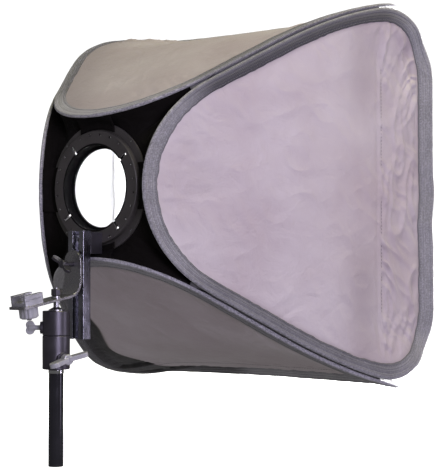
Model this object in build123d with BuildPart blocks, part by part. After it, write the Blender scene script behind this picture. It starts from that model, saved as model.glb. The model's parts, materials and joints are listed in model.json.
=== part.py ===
"""Collapsible flash softbox with its speed ring, rail, L-bracket and light-stand adapter.

Frame: +Z up, origin at the centre of the stand tube's lower end. The box opens towards -Y.
Depths along the ring axis are counted forwards (-Y) from the rear face of the speed ring.
"""
import os
from math import asin, cos, radians, sin, sqrt, tan

from build123d import *

os.makedirs("parts", exist_ok=True)

# ---------------------------------------------------------------- driving dimensions, mm
RING_Z = 343.0            # ring axis above the lower end of the stand tube
FACE_Y = -66.0            # rear face of the speed ring

# Side panels: a straight slope that bends into an arc and ends parallel to the ring axis
APEX_DEPTH = -9.0         # rearmost point of a hoop
APEX_RADIUS = 89.0        # its distance from the ring axis
SLOPE = radians(33.0)
BEND_DEPTH = 140.0        # the straight slope ends here
FRONT_DEPTH = 396.0       # front edge of the box
CORNER_RADIUS = 93.0      # front corners of a hoop
MITRE_GAP = 3.0           # a hoop stops this far short of the mitre between two panels
BINDING_WIDTH = 18.0
BINDING_HALF = 2.4        # half the thickness of the folded binding tape
FOLD_HALF = 1.1           # half the gap inside the fold
FOLD_INSET = 3.3          # tape left at the bottom of the fold
HOOP_INSET = 3.5
HOOP_WIDTH = 6.0
HOOP_HALF = 0.7
CLOTH_INSET = 11.0
CLOTH = 0.8               # thickness of the shell and of the lining
CLOTH_GAP = 0.1           # each keeps this far from the panel's mid surface

# Recessed front diffuser and its hook-and-loop strips
DIFFUSER_DEPTH = 294.0
DIFFUSER_CORNER = 45.0
STRIP_HALF_LENGTH = 200.0
STRIP_WIDTH = 24.0

# Rear cloth
REAR_DEPTH = 9.7
REAR_CLOTH = 1.0
REAR_HALF = 94.0          # half width of the flat part
REAR_CORNER = 60.0        # where its cut corners start
GUSSET_TIP = 127.0        # the gussets end here, at x and z from the ring axis
GUSSET_TIP_DEPTH = 61.0

# Speed ring
DRUM_RADIUS = 72.0
DRUM_DEPTH = 16.0
DRUM_WALL = 2.5
PLATE_THICK = 3.0         # index plate across the rear of the drum
BORE_RADIUS = 54.0
SLEEVE_RADIUS = 56.0      # outside of the sleeve that lines the bore
LIP_RADIUS = 50.0
LIP_DEPTH = 13.0
INDEX_RADIUS = 67.0
INDEX_COUNT = 24
INDEX_HOLE = 1.5
SLOT_WIDTH = 4.5
SLOT_TURN = 37.5          # first radial slot, degrees from the viewer's right, seen from the rear
BOSS_WIDTH = 26.0         # block behind the index plate that takes the rail bolt
BOSS_HIGH = 30.0
BOLT_HOLE_DEPTH = 12.0
FLANGE_RADIUS = 82.0
FLANGE_DEPTH = 7.0
FLANGE_THICK = 2.5
RUNNING = 0.05            # radial clearance of the turning fits
SCREW_RADIUS = 79.0
SCREW_COUNT = 8
SCREW_THREAD = 1.2
SCREW_HEAD = 2.3
SCREW_HEAD_HIGH = 1.6
CLAMP_THICK = 2.0
SNAP_DEPTH = 12.5         # groove on the drum in front of the clamp ring
SNAP_THICK = 1.5
SNAP_INNER = 71.0
SNAP_OUTER = 74.5
TAB_CENTRE = 83.0         # cloth tabs over the flange, behind each hoop apex
TAB_REACH = 19.0
TAB_WIDTH = 58.0

# Rail and its fixings, x across, y to the rear of the ring face, z below the ring axis
RAIL_WIDTH = 27.0
RAIL_DEEP = 13.0
RAIL_START = 20.0         # gap between the ring face and the rail, filled by the spacer
RAIL_TOP = 55.5
RAIL_BOTTOM = 190.0
RAIL_WEB = 3.0
RAIL_LIP = 2.5
RAIL_SLOT = 10.0
RAIL_CAVITY = 20.0
SPACER_TOP = 57.0
SPACER_BOTTOM = 84.0
BOLT_DROP = 66.0          # rail bolt below the ring axis
BOLT_RADIUS = 3.0
BOLT_HEAD = 4.9
BOLT_HEAD_HIGH = 5.5
SOCKET_RADIUS = 2.9
SOCKET_DEPTH = 3.5
PIN_X = 8.75              # locating pins, either side of the bolt
PIN_DROP = 78.0
PIN_RADIUS = 1.5
PIN_HOLE = 8.0            # depth of the pins in the spacer
CLAMP_DROP = 97.0         # rail wing screw below the ring axis
SLIDER_TOP = 85.0
SLIDER_BOTTOM = 117.0

# L-bracket: upright leg behind the rail, arm sloping down to the rear over the adapter
PLATE = 3.0
PLATE_WIDTH = 28.0
LEG_START = 35.4          # front face of the leg, from the ring face
LEG_TOP = 80.0
ARM_TILT = radians(9.7)
ARM_Z = 204.0             # arm mid plane on the adapter axis
ARM_LENGTH = 66.0         # from the adapter axis to the square end
BEND_RADIUS = 22.0
CLAMP_RADIUS = 3.0        # thread of every wing screw
SHOE_STATION = 47.7       # flash shoe along the arm, from the adapter axis
SHOE_WIDTH = 25.0
SHOE_LENGTH = 30.0
SHOE_BASE = 4.0
SHOE_INSIDE = 18.8        # channel for a flash foot
SHOE_CHANNEL = 7.0
SHOE_LIP = 1.8
SHOE_GAP = 12.6           # between the lips
SHOE_BOLT_RADIUS = 3.0
SHOE_BOLT_HEAD = 5.4
SHOE_BOLT_BELOW = 14.0    # bolt end below the arm
SHOE_NUT_RADIUS = 11.5
SHOE_NUT_HIGH = 12.0

# Stand adapter and the top of the light stand
TUBE_RADIUS = 9.0
TUBE_BORE = 7.0
TUBE_TOP = 113.0
ADAPTER_RADIUS = 16.75
ADAPTER_BOTTOM = 118.0
ADAPTER_SEAM = 159.0
ADAPTER_TOP = 189.0
BOSS_RADIUS = 7.5         # boss round each lock screw
SPIGOT_RADIUS = 7.94
COLLAR_RADIUS = 9.4
PLUG_LENGTH = 13.0        # stand spigot inside the tube
SHOULDER_RADIUS = 9.5     # of the stud spigot, over the adapter
STUD_RADIUS = 2.4
NUT_BOTTOM = ARM_Z + 3.3
NUT_HEIGHT = 8.5
NUT_RADIUS = 6.4
WASHER_RADIUS = 5.4
UPPER_SCREW_Z = 168.5
LOWER_SCREW_Z = 131.0
WING_SWEEP = 20.0         # the wings of a wing screw lean away from the hub, degrees

# ---------------------------------------------------------------- worked-out geometry
FORWARD = Vector(0, -1, 0)
RING_CENTRE = Vector(0, FACE_Y, RING_Z)
BEND_R = APEX_RADIUS + (BEND_DEPTH - APEX_DEPTH) * tan(SLOPE)
ARC_RADIUS = (FRONT_DEPTH - BEND_DEPTH) / sin(SLOPE)
ARC_CENTRE_R = BEND_R - ARC_RADIUS * cos(SLOPE)
# The rear of a hoop is one arc, tangent to the mitre line
REAR_ARC = (APEX_RADIUS - MITRE_GAP) * cos(SLOPE) / (1 - sin(SLOPE))
ARM_DIR = Vector(0, cos(ARM_TILT), -sin(ARM_TILT))
ARM_NORMAL = Vector(0, sin(ARM_TILT), cos(ARM_TILT))
UPPER_SCREW_DIR = Vector(0.78, 0.63, 0).normalized()
LOWER_SCREW_DIR = Vector(-0.95, 0.30, 0).normalized()
SIDES = ("left", "top", "right", "bottom")


def save(piece, name):
    piece.part.label = name
    export_step(piece.part, f"parts/{name}.step")


def ring_plane(depth):
    """Plane across the ring axis, seen from the rear: local x to the viewer's right, y up."""
    return Plane(origin=RING_CENTRE + FORWARD * depth, x_dir=(-1, 0, 0), z_dir=(0, 1, 0))


def outward(side):
    """Direction from the ring axis to one of the four side panels."""
    turn = radians(90 * SIDES.index(side))
    return Vector(-cos(turn), 0, sin(turn))


def profile_plane(side):
    """Plane through the ring axis: local x is the depth, local y the distance from the axis."""
    return Plane(origin=RING_CENTRE, x_dir=FORWARD, z_dir=FORWARD.cross(outward(side)))


def outline_plane(side):
    """Plane facing a side panel: local x is the depth, local y runs across the panel."""
    return Plane(origin=RING_CENTRE, x_dir=FORWARD, z_dir=outward(side))


def panel_radius(depth):
    """Distance of a panel's mid surface from the ring axis at a depth beyond the bend."""
    return ARC_CENTRE_R + sqrt(ARC_RADIUS**2 - (FRONT_DEPTH - depth) ** 2)


DIFFUSER_HALF = panel_radius(DIFFUSER_DEPTH) - 4.3


def panel_section(low, high):
    """Section of a sheet that lies between two offsets from the panel's mid surface."""
    normal = (-sin(SLOPE), cos(SLOPE))
    start = (APEX_DEPTH - 4 * cos(SLOPE), APEX_RADIUS - 4 * sin(SLOPE))

    def shifted(point, by):
        return (point[0] + normal[0] * by, point[1] + normal[1] * by)

    with BuildSketch() as section:
        with BuildLine():
            low_line = Line(shifted(start, low), shifted((BEND_DEPTH, BEND_R), low))
            low_end = (FRONT_DEPTH, ARC_CENTRE_R + ARC_RADIUS + low)
            TangentArc(low_line @ 1, low_end, tangent=low_line % 1)
            high_line = Line(shifted(start, high), shifted((BEND_DEPTH, BEND_R), high))
            high_end = (FRONT_DEPTH, ARC_CENTRE_R + ARC_RADIUS + high)
            TangentArc(high_line @ 1, high_end, tangent=high_line % 1)
            Line(low_end, high_end)
            Line(low_line @ 0, high_line @ 0)
        make_face()
    return section.sketch


def hoop_outline(inset):
    """Outline of a hoop as seen square on to its side of the box, drawn in smaller by inset."""
    rear_centre = APEX_DEPTH + REAR_ARC
    touch = (rear_centre - REAR_ARC * sin(SLOPE), REAR_ARC * cos(SLOPE))
    with BuildSketch() as flat:
        with BuildLine():
            apex = (APEX_DEPTH, 0)
            halfway = (rear_centre - REAR_ARC * cos(asin(0.45)), REAR_ARC * 0.45)
            ThreePointArc(apex, halfway, touch)
            side_line = Line(touch, (BEND_DEPTH, BEND_R - MITRE_GAP))
            front = (FRONT_DEPTH, ARC_CENTRE_R + ARC_RADIUS - MITRE_GAP)
            TangentArc(side_line @ 1, front, tangent=side_line % 1)
            Line(front, (FRONT_DEPTH, 0))
            mirror(about=Plane.XZ)
        make_face()
        fillet(flat.vertices().group_by(Axis.X)[-1].sort_by(Axis.Y)[0], radius=CORNER_RADIUS)
        fillet(flat.vertices().group_by(Axis.X)[-1].sort_by(Axis.Y)[-1], radius=CORNER_RADIUS)
        if inset > 0:
            offset(amount=-inset, mode=Mode.REPLACE)
    return flat.sketch


def panel_sheet(side, low, high, outer, inner=None):
    """Sheet of one side panel: bent to the profile, cut to an outline, open inside inner."""
    with BuildPart() as piece:
        with BuildSketch(profile_plane(side)):
            add(panel_section(low, high))
        extrude(amount=300, both=True)
        with BuildSketch(outline_plane(side)):
            add(outer)
            if inner is not None:
                add(inner, mode=Mode.SUBTRACT)
        extrude(amount=300, mode=Mode.INTERSECT)
    return piece


def side_panels():
    """Four panels, each a sprung hoop in folded tape with a shell outside and a lining inside."""
    edge = hoop_outline(0)
    tape_inner = hoop_outline(BINDING_WIDTH)
    fold = hoop_outline(FOLD_INSET)
    hoop_outer = hoop_outline(HOOP_INSET)
    hoop_inner = hoop_outline(HOOP_INSET + HOOP_WIDTH)
    cloth = hoop_outline(CLOTH_INSET)
    for side in SIDES:
        save(panel_sheet(side, CLOTH_GAP, CLOTH_GAP + CLOTH, cloth), f"{side}_shell")
        save(panel_sheet(side, -CLOTH_GAP - CLOTH, -CLOTH_GAP, cloth), f"{side}_lining")
        save(panel_sheet(side, -HOOP_HALF, HOOP_HALF, hoop_outer, hoop_inner), f"{side}_hoop")
        tape = panel_sheet(side, -BINDING_HALF, BINDING_HALF, edge, tape_inner)
        fold_gap = panel_sheet(side, -FOLD_HALF, FOLD_HALF, fold)
        with BuildPart() as binding:
            add(tape.part)
            add(fold_gap.part, mode=Mode.SUBTRACT)
        save(binding, f"{side}_binding")


def rear_cloth():
    """Flat cloth clamped in the ring, a sloping gusset in each corner, and four edge tabs."""
    with BuildPart() as rear_panel:
        with BuildSketch(ring_plane(REAR_DEPTH)) as flat:
            Rectangle(2 * REAR_HALF, 2 * REAR_HALF)
            chamfer(flat.vertices(), length=REAR_HALF - REAR_CORNER)
            Circle(DRUM_RADIUS + 1.5, mode=Mode.SUBTRACT)
            with PolarLocations(SCREW_RADIUS, SCREW_COUNT):
                Circle(SCREW_THREAD + 0.2, mode=Mode.SUBTRACT)
        extrude(amount=-REAR_CLOTH)
    save(rear_panel, "rear_panel")

    base_half = (REAR_HALF - REAR_CORNER) / sqrt(2)
    base_reach = (REAR_HALF + REAR_CORNER) / sqrt(2)
    run = GUSSET_TIP * sqrt(2) - base_reach
    rise = GUSSET_TIP_DEPTH - REAR_DEPTH
    for name, across, up in (("top_left", -1, 1), ("top_right", 1, 1),
                             ("bottom_right", 1, -1), ("bottom_left", -1, -1)):
        diagonal = Vector(across, 0, up).normalized()
        base = RING_CENTRE + FORWARD * (REAR_DEPTH + 0.2) + diagonal * (base_reach + 1.0)
        sloping = (diagonal * run + FORWARD * rise).normalized()
        tangent = Vector(up, 0, -across).normalized()
        with BuildPart() as gusset:
            with BuildSketch(Plane(origin=base, x_dir=tangent, z_dir=tangent.cross(sloping))):
                with BuildLine():
                    Polyline((-base_half, 0), (base_half, 0), (0, sqrt(run**2 + rise**2)), close=True)
                make_face()
            extrude(amount=REAR_CLOTH if tangent.cross(sloping).dot(FORWARD) > 0 else -REAR_CLOTH)
        save(gusset, f"gusset_{name}")

    with BuildPart() as ring_tabs:
        with BuildSketch(ring_plane(FLANGE_DEPTH - 1.4)):
            with PolarLocations(TAB_CENTRE, 4):
                Rectangle(TAB_REACH, TAB_WIDTH)
        extrude(amount=-1.2)
    save(ring_tabs, "ring_tabs")


def speed_ring():
    """Drum in three pieces, and the flange that carries the cloth and turns on the drum."""
    with BuildSketch() as radial_slots:
        with PolarLocations((INDEX_RADIUS + LIP_RADIUS) / 2, 4, start_angle=SLOT_TURN):
            Rectangle(INDEX_RADIUS - LIP_RADIUS, SLOT_WIDTH)
    with BuildPart() as index_plate:
        with BuildSketch(ring_plane(0)):
            Circle(DRUM_RADIUS)
            Circle(SLEEVE_RADIUS, mode=Mode.SUBTRACT)
            add(radial_slots.sketch, mode=Mode.SUBTRACT)
            for position in range(INDEX_COUNT):
                turn = 7.5 + position * 360 / INDEX_COUNT
                if (turn - SLOT_TURN) % 90 > 1:
                    with PolarLocations(INDEX_RADIUS, 1, start_angle=turn):
                        Circle(INDEX_HOLE, mode=Mode.SUBTRACT)
        extrude(amount=-PLATE_THICK)
        chamfer(index_plate.edges().group_by(Axis.Y)[-1].sort_by(SortBy.LENGTH)[-1], length=0.8)
        with BuildSketch(ring_plane(PLATE_THICK)):
            with Locations((0, -INDEX_RADIUS)):
                Rectangle(BOSS_WIDTH, BOSS_HIGH)
            Circle(DRUM_RADIUS - DRUM_WALL - RUNNING, mode=Mode.INTERSECT)
            Circle(SLEEVE_RADIUS + RUNNING, mode=Mode.SUBTRACT)
        extrude(amount=-(DRUM_DEPTH - PLATE_THICK))
        with BuildSketch(ring_plane(0)):
            with Locations((0, -BOLT_DROP)):
                Circle(BOLT_RADIUS + RUNNING)
        extrude(amount=-BOLT_HOLE_DEPTH, mode=Mode.SUBTRACT)
    save(index_plate, "index_plate")

    with BuildPart() as drum_rim:
        with BuildSketch(ring_plane(PLATE_THICK)):
            Circle(DRUM_RADIUS)
            Circle(DRUM_RADIUS - DRUM_WALL, mode=Mode.SUBTRACT)
        extrude(amount=-(DRUM_DEPTH - PLATE_THICK))
        with BuildSketch(ring_plane(SNAP_DEPTH)):
            Circle(DRUM_RADIUS + 1)
            Circle(SNAP_INNER, mode=Mode.SUBTRACT)
        extrude(amount=-SNAP_THICK, mode=Mode.SUBTRACT)
    save(drum_rim, "drum_rim")

    with BuildPart() as ring_sleeve:
        with BuildSketch(ring_plane(0)):
            Circle(SLEEVE_RADIUS)
            Circle(BORE_RADIUS, mode=Mode.SUBTRACT)
        extrude(amount=-DRUM_DEPTH)
        with BuildSketch(ring_plane(LIP_DEPTH)):
            Circle(BORE_RADIUS + 1)
            Circle(LIP_RADIUS, mode=Mode.SUBTRACT)
        extrude(amount=-(DRUM_DEPTH - LIP_DEPTH))
        with BuildSketch(ring_plane(0)):
            add(radial_slots.sketch)
        extrude(amount=-PLATE_THICK, mode=Mode.SUBTRACT)
    save(ring_sleeve, "ring_sleeve")

    with BuildPart() as snap_ring:
        with BuildSketch(ring_plane(SNAP_DEPTH + 0.1)):
            Circle(SNAP_OUTER)
            Circle(SNAP_INNER + 0.1, mode=Mode.SUBTRACT)
            with Locations((0, SNAP_OUTER)):
                Rectangle(8, 12, mode=Mode.SUBTRACT)
        extrude(amount=-(SNAP_THICK - 0.2))
    save(snap_ring, "snap_ring")

    clamp_depth = REAR_DEPTH + REAR_CLOTH + 0.1
    for name, depth, thick, inner in (
            ("flange_ring", FLANGE_DEPTH, FLANGE_THICK, DRUM_RADIUS + RUNNING),
            ("clamp_ring", clamp_depth, CLAMP_THICK, SNAP_OUTER + 0.6)):
        with BuildPart() as ring:
            with BuildSketch(ring_plane(depth)):
                Circle(FLANGE_RADIUS)
                Circle(inner, mode=Mode.SUBTRACT)
                with PolarLocations(SCREW_RADIUS, SCREW_COUNT):
                    Circle(SCREW_THREAD + 0.1, mode=Mode.SUBTRACT)
            extrude(amount=-thick)
        save(ring, name)

    with BuildPart() as ring_screws:
        with BuildSketch(ring_plane(FLANGE_DEPTH)):
            with PolarLocations(SCREW_RADIUS, SCREW_COUNT):
                Circle(SCREW_THREAD)
        extrude(amount=-(clamp_depth + CLAMP_THICK - FLANGE_DEPTH + SCREW_HEAD_HIGH))
        with BuildSketch(ring_plane(clamp_depth + CLAMP_THICK)):
            with PolarLocations(SCREW_RADIUS, SCREW_COUNT):
                Circle(SCREW_HEAD)
        extrude(amount=-SCREW_HEAD_HIGH)
    save(ring_screws, "ring_screws")


def front_diffuser():
    """Recessed diffuser with its hook strips, and the loop strips sewn to the linings."""
    with BuildPart() as diffuser:
        with BuildSketch(ring_plane(DIFFUSER_DEPTH)):
            RectangleRounded(2 * DIFFUSER_HALF, 2 * DIFFUSER_HALF, DIFFUSER_CORNER)
        extrude(amount=-1.0)
        for side in SIDES:
            add(edge_strip(side, -4.8, -3.7))
    save(diffuser, "front_diffuser")
    for name, low, high in (("hook_strips", -3.6, -2.7), ("loop_strips", -2.2, -1.1)):
        with BuildPart() as strips:
            for side in SIDES:
                add(edge_strip(side, low, high))
        save(strips, name)


def edge_strip(side, low, high):
    """Strip along the inside of one side panel, just in front of the diffuser."""
    with BuildSketch() as flat:
        with Locations((DIFFUSER_DEPTH + STRIP_WIDTH / 2, 0)):
            Rectangle(STRIP_WIDTH, 2 * STRIP_HALF_LENGTH)
    return panel_sheet(side, low, high, flat.sketch).part


def rear_facing(drop, behind=0.0):
    """Plane facing the rear, drop mm below the ring axis and behind mm from the ring face."""
    return Plane(origin=(0, FACE_Y + behind, RING_Z - drop), x_dir=(-1, 0, 0), z_dir=(0, 1, 0))


def level(z):
    """Level plane on the adapter axis: local x is +X, local y is +Y."""
    return Plane.XY.offset(z)


def rail_parts():
    """T-slot rail, the spacer that stands it off the ring, its bolt and its locating pins."""
    rail_rear = FACE_Y + RAIL_START + RAIL_DEEP
    cavity_deep = RAIL_DEEP - RAIL_WEB - RAIL_LIP
    with BuildPart() as rail:
        with BuildSketch(level(RING_Z - RAIL_BOTTOM)):
            with Locations((0, rail_rear - RAIL_DEEP / 2)):
                RectangleRounded(RAIL_WIDTH, RAIL_DEEP, 0.8)
            with Locations((0, rail_rear - RAIL_LIP - cavity_deep / 2)):
                Rectangle(RAIL_CAVITY, cavity_deep, mode=Mode.SUBTRACT)
            with Locations((0, rail_rear)):
                Rectangle(RAIL_SLOT, 3 * RAIL_LIP, mode=Mode.SUBTRACT)
        extrude(amount=RAIL_BOTTOM - RAIL_TOP)
        with BuildSketch(rear_facing(BOLT_DROP, RAIL_START + RAIL_WEB)):
            Circle(BOLT_RADIUS + RUNNING)
            with Locations((-PIN_X, BOLT_DROP - PIN_DROP), (PIN_X, BOLT_DROP - PIN_DROP)):
                Circle(PIN_RADIUS)
        extrude(amount=-RAIL_WEB, mode=Mode.SUBTRACT)
    save(rail, "rail")

    with BuildPart() as rail_spacer:
        with BuildSketch(rear_facing((SPACER_TOP + SPACER_BOTTOM) / 2)):
            Rectangle(RAIL_WIDTH, SPACER_BOTTOM - SPACER_TOP)
        extrude(amount=RAIL_START)
        with BuildSketch(rear_facing(BOLT_DROP)):
            Circle(BOLT_RADIUS + RUNNING)
        extrude(amount=RAIL_START, mode=Mode.SUBTRACT)
        with BuildSketch(rear_facing(PIN_DROP, RAIL_START)):
            with Locations((-PIN_X, 0), (PIN_X, 0)):
                Circle(PIN_RADIUS)
        extrude(amount=-PIN_HOLE, mode=Mode.SUBTRACT)
    save(rail_spacer, "rail_spacer")

    with BuildPart() as rail_bolt:
        with BuildSketch(rear_facing(BOLT_DROP, RAIL_START + RAIL_WEB)):
            Circle(BOLT_RADIUS)
        extrude(amount=-(RAIL_START + RAIL_WEB + BOLT_HOLE_DEPTH - 1))
        with BuildSketch(rear_facing(BOLT_DROP, RAIL_START + RAIL_WEB)):
            Circle(BOLT_HEAD)
        extrude(amount=BOLT_HEAD_HIGH)
        with BuildSketch(rear_facing(BOLT_DROP, RAIL_START + RAIL_WEB + BOLT_HEAD_HIGH)):
            RegularPolygon(SOCKET_RADIUS, 6)
        extrude(amount=-SOCKET_DEPTH, mode=Mode.SUBTRACT)
        chamfer(rail_bolt.edges().filter_by(GeomType.CIRCLE).group_by(Axis.Y)[-1], length=0.5)
    save(rail_bolt, "rail_bolt")

    with BuildPart() as locating_pins:
        with BuildSketch(rear_facing(PIN_DROP, RAIL_START + RAIL_WEB)):
            with Locations((-PIN_X, 0), (PIN_X, 0)):
                Circle(PIN_RADIUS)
        extrude(amount=-(RAIL_WEB + PIN_HOLE - 0.5))
    save(locating_pins, "locating_pins")


def bracket():
    """L-bracket: one strip of plate, with the slider and the washers that move with it."""
    front = FACE_Y + LEG_START
    top = RING_Z - LEG_TOP
    mid = front + PLATE / 2
    turn = radians(90) - ARM_TILT
    centre_y = mid + BEND_RADIUS
    foot_y = centre_y - BEND_RADIUS * cos(turn)
    centre_z = ARM_Z - foot_y * tan(ARM_TILT) + BEND_RADIUS * sin(turn)
    end = Vector(0, 0, ARM_Z) + ARM_DIR * ARM_LENGTH

    def side_point(offset_by):
        """Start of the bend, end of the bend and end of the arm for one face of the strip."""
        radius = BEND_RADIUS + offset_by
        bend_end = (centre_y - radius * cos(turn), centre_z - radius * sin(turn))
        tip = end - ARM_NORMAL * offset_by
        return (centre_y - radius, centre_z), bend_end, (tip.Y, tip.Z)

    inner_start, inner_end, inner_tip = side_point(-PLATE / 2)
    outer_start, outer_end, outer_tip = side_point(PLATE / 2)
    with BuildPart() as l_bracket:
        with BuildSketch(Plane.YZ):
            with BuildLine():
                Line((inner_start[0], top), inner_start)
                RadiusArc(inner_start, inner_end, -(BEND_RADIUS - PLATE / 2))
                Line(inner_end, inner_tip)
                Line(inner_tip, outer_tip)
                Line(outer_tip, outer_end)
                RadiusArc(outer_end, outer_start, BEND_RADIUS + PLATE / 2)
                Line(outer_start, (outer_start[0], top))
                Line((outer_start[0], top), (inner_start[0], top))
            make_face()
        extrude(amount=PLATE_WIDTH / 2, both=True)
        top_edges = l_bracket.edges().filter_by(Axis.Y).group_by(Axis.Z)[-1]
        fillet(top_edges, radius=PLATE_WIDTH / 2 - 0.5)
        end_edges = l_bracket.edges().filter_by(lambda e: e.length < PLATE + 0.1).group_by(Axis.Y)[-1]
        fillet(end_edges, radius=2.0)
        with BuildSketch(arm_plane(0)):
            Circle(STUD_RADIUS + 0.4)
            with Locations((0, SHOE_STATION)):
                SlotOverall(28, 6.4, rotation=90)
        extrude(amount=PLATE, both=True, mode=Mode.SUBTRACT)
        with BuildSketch(rear_facing(CLAMP_DROP, LEG_START - 1)):
            Circle(CLAMP_RADIUS + RUNNING)
        extrude(amount=PLATE + 2, mode=Mode.SUBTRACT)
    save(l_bracket, "l_bracket")

    slider_drop = (SLIDER_TOP + SLIDER_BOTTOM) / 2
    slider_high = SLIDER_BOTTOM - SLIDER_TOP
    head_front = RAIL_START + RAIL_WEB + 0.3
    head_rear = RAIL_START + RAIL_DEEP - RAIL_LIP - 0.3
    pad_front = RAIL_START + RAIL_DEEP + 0.3
    with BuildPart() as slider:
        for front_y, rear_y, width in ((head_front, head_rear, RAIL_CAVITY - 0.6),
                                       (head_rear, pad_front, RAIL_SLOT - 0.6),
                                       (pad_front, LEG_START - 0.1, RAIL_CAVITY)):
            with BuildSketch(rear_facing(slider_drop, front_y)):
                Rectangle(width, slider_high)
            extrude(amount=rear_y - front_y)
        with BuildSketch(rear_facing(CLAMP_DROP, head_front)):
            Circle(CLAMP_RADIUS + RUNNING)
        extrude(amount=LEG_START, mode=Mode.SUBTRACT)
    save(slider, "slider")

    with BuildPart() as wedge_washers:
        add(wedge_washer(ARM_Z, NUT_BOTTOM - 0.05, PLATE / 2 + 0.02, Keep.TOP))
        add(wedge_washer(ARM_Z - PLATE / 2 - 3.4, ARM_Z, -PLATE / 2 - 0.02, Keep.BOTTOM))
    save(wedge_washers, "wedge_washers")


def wedge_washer(low, high, face, keep):
    """Washer cut on a slant on one side, so that a level nut or shoulder bears on the sloping arm."""
    with BuildPart() as washer:
        with BuildSketch(level(low)):
            Circle(WASHER_RADIUS)
            Circle(STUD_RADIUS + RUNNING, mode=Mode.SUBTRACT)
        extrude(amount=high - low)
        split(bisect_by=arm_plane(face), keep=keep)
    return washer.part


def arm_plane(above):
    """Plane along the arm, above mm over its mid plane: local y runs out along the arm."""
    origin = Vector(0, 0, ARM_Z) + ARM_NORMAL * above
    return Plane(origin=origin, x_dir=(1, 0, 0), z_dir=ARM_NORMAL)


def flash_shoe():
    """Accessory shoe on the arm, the bolt that holds it and the round nut under the arm."""
    seat = PLATE / 2 + 0.05
    head_seat = seat + SHOE_BASE - 1.8
    thread = SHOE_BOLT_RADIUS - 0.02
    at_shoe = Locations((0, SHOE_STATION))
    with BuildPart() as cold_shoe:
        with BuildSketch(arm_plane(seat)):
            with at_shoe:
                RectangleRounded(SHOE_WIDTH, SHOE_LENGTH, 1.0)
        extrude(amount=SHOE_BASE + SHOE_CHANNEL + SHOE_LIP)
        for width, tall in ((SHOE_INSIDE, SHOE_CHANNEL), (SHOE_GAP, SHOE_CHANNEL + SHOE_LIP)):
            with BuildSketch(arm_plane(seat + SHOE_BASE)):
                with at_shoe:
                    Rectangle(width, SHOE_LENGTH + 2)
            extrude(amount=tall, mode=Mode.SUBTRACT)
        with BuildSketch(arm_plane(seat)):
            with at_shoe:
                Circle(SHOE_BOLT_RADIUS)
        extrude(amount=SHOE_BASE, mode=Mode.SUBTRACT)
        with BuildSketch(arm_plane(head_seat - 0.1)):
            with at_shoe:
                Circle(SHOE_BOLT_HEAD + 0.2)
        extrude(amount=2, mode=Mode.SUBTRACT)
        with BuildSketch(arm_plane(seat + SHOE_BASE + 2.2)):
            with Locations((SHOE_WIDTH / 2, SHOE_STATION), (-SHOE_WIDTH / 2, SHOE_STATION)):
                Rectangle(1.4, SHOE_LENGTH + 2)
        extrude(amount=1.2, mode=Mode.SUBTRACT)
    save(cold_shoe, "cold_shoe")

    with BuildPart() as shoe_bolt:
        with BuildSketch(arm_plane(head_seat)):
            with at_shoe:
                Circle(SHOE_BOLT_HEAD)
        extrude(amount=1.6)
        with BuildSketch(arm_plane(head_seat)):
            with at_shoe:
                Circle(thread)
        extrude(amount=-(SHOE_BASE + PLATE + SHOE_BOLT_BELOW))
    save(shoe_bolt, "shoe_bolt")

    with BuildPart() as shoe_nut:
        with BuildSketch(arm_plane(-PLATE / 2 - 0.15)):
            with at_shoe:
                Circle(SHOE_NUT_RADIUS)
                with PolarLocations(SHOE_NUT_RADIUS + 1.6, 14):
                    Circle(2.3, mode=Mode.SUBTRACT)
        extrude(amount=-SHOE_NUT_HIGH)
        with BuildSketch(arm_plane(-PLATE / 2 - 0.15)):
            with at_shoe:
                Circle(SHOE_NUT_RADIUS - 2)
        extrude(amount=-(SHOE_NUT_HIGH + 1.2))
        with BuildSketch(arm_plane(0)):
            with at_shoe:
                Circle(thread + RUNNING)
        extrude(amount=-2 * SHOE_NUT_HIGH, mode=Mode.SUBTRACT)
    save(shoe_nut, "shoe_nut")


def wing_screw(name, height, centre_y, direction, radius, reach, hub, wing, roll=0.0):
    """Wing screw along direction. reach is its start and the hub's start from the axis.

    hub is the hub's radius and length, wing is each wing's span, its height and its thickness.
    """
    origin = Vector(0, centre_y, height)
    side = direction.cross(Vector(0, 0, 1))
    across = side * cos(radians(roll)) + Vector(0, 0, 1) * sin(radians(roll))
    start, hub_start = reach
    span, tall, thick = wing
    with BuildPart() as screw:
        with BuildSketch(Plane(origin=origin + direction * start, x_dir=across, z_dir=direction)):
            Circle(radius)
        extrude(amount=hub_start - start + 1)
        with BuildSketch(Plane(origin=origin + direction * hub_start, x_dir=across, z_dir=direction)):
            Circle(hub[0])
        extrude(amount=hub[1])
        chamfer(screw.edges().filter_by(GeomType.CIRCLE).sort_by(SortBy.RADIUS)[-2:], length=0.8)
        wing_plane = Plane(origin=origin + direction * (hub_start + hub[1] / 2), x_dir=across,
                           z_dir=across.cross(direction))
        with BuildSketch(wing_plane):
            for half in (-1, 1):
                with Locations(Location((half * span / 4, tall * 0.2), half * WING_SWEEP)):
                    SlotOverall(span / 2 + tall * 0.5, tall)
        extrude(amount=thick / 2, both=True)
    save(screw, name)


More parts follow.
